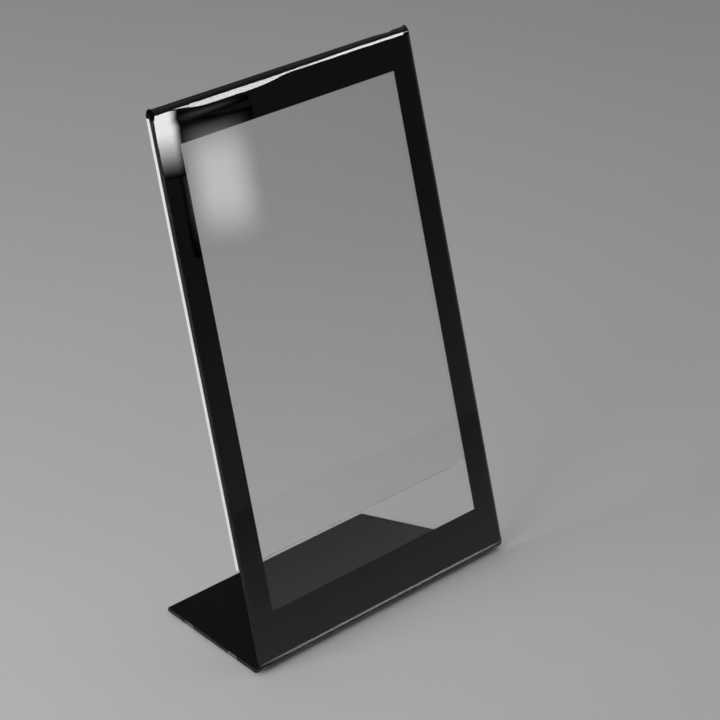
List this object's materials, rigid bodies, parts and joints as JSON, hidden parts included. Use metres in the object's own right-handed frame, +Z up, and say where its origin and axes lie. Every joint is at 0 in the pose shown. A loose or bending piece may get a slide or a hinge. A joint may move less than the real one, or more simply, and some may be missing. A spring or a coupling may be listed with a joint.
{
  "type": "sign stand",
  "caption": "Slanted table-top sign stand: one folded clear acrylic sheet with a black-bordered window, a narrow pocket for a paper sheet and a tapered foot.",
  "frame": {"origin": "centre of the bounding box, on the table under the pads", "axes": "+X to the viewer's right along the fold, +Y from the front panel towards the foot's rear edge, +Z up; the front panel faces -Y and leans back"},
  "size_m": [0.212, 0.089, 0.2917],
  "materials": {
    "clear_acrylic": "clear cast acrylic, polished",
    "black_ink": "opaque black screen print seen through the clear sheet",
    "pad_rubber": "matte black rubber",
    "pad_adhesive": "black foam tape"
  },
  "bodies": {
    "root": {"front_panel": "clear_acrylic", "rear_panel": "clear_acrylic", "top_fold": "clear_acrylic", "bottom_bend": "clear_acrylic", "foot_plate": "clear_acrylic", "border_print": "black_ink", "fold_print": "black_ink", "foot_print": "black_ink", "pad_front_left": "pad_rubber", "pad_adhesive_front_left": "pad_adhesive", "pad_front_right": "pad_rubber", "pad_adhesive_front_right": "pad_adhesive", "pad_rear_left": "pad_rubber", "pad_adhesive_rear_left": "pad_adhesive", "pad_rear_right": "pad_rubber", "pad_adhesive_rear_right": "pad_adhesive"}
  },
  "joints": []
}
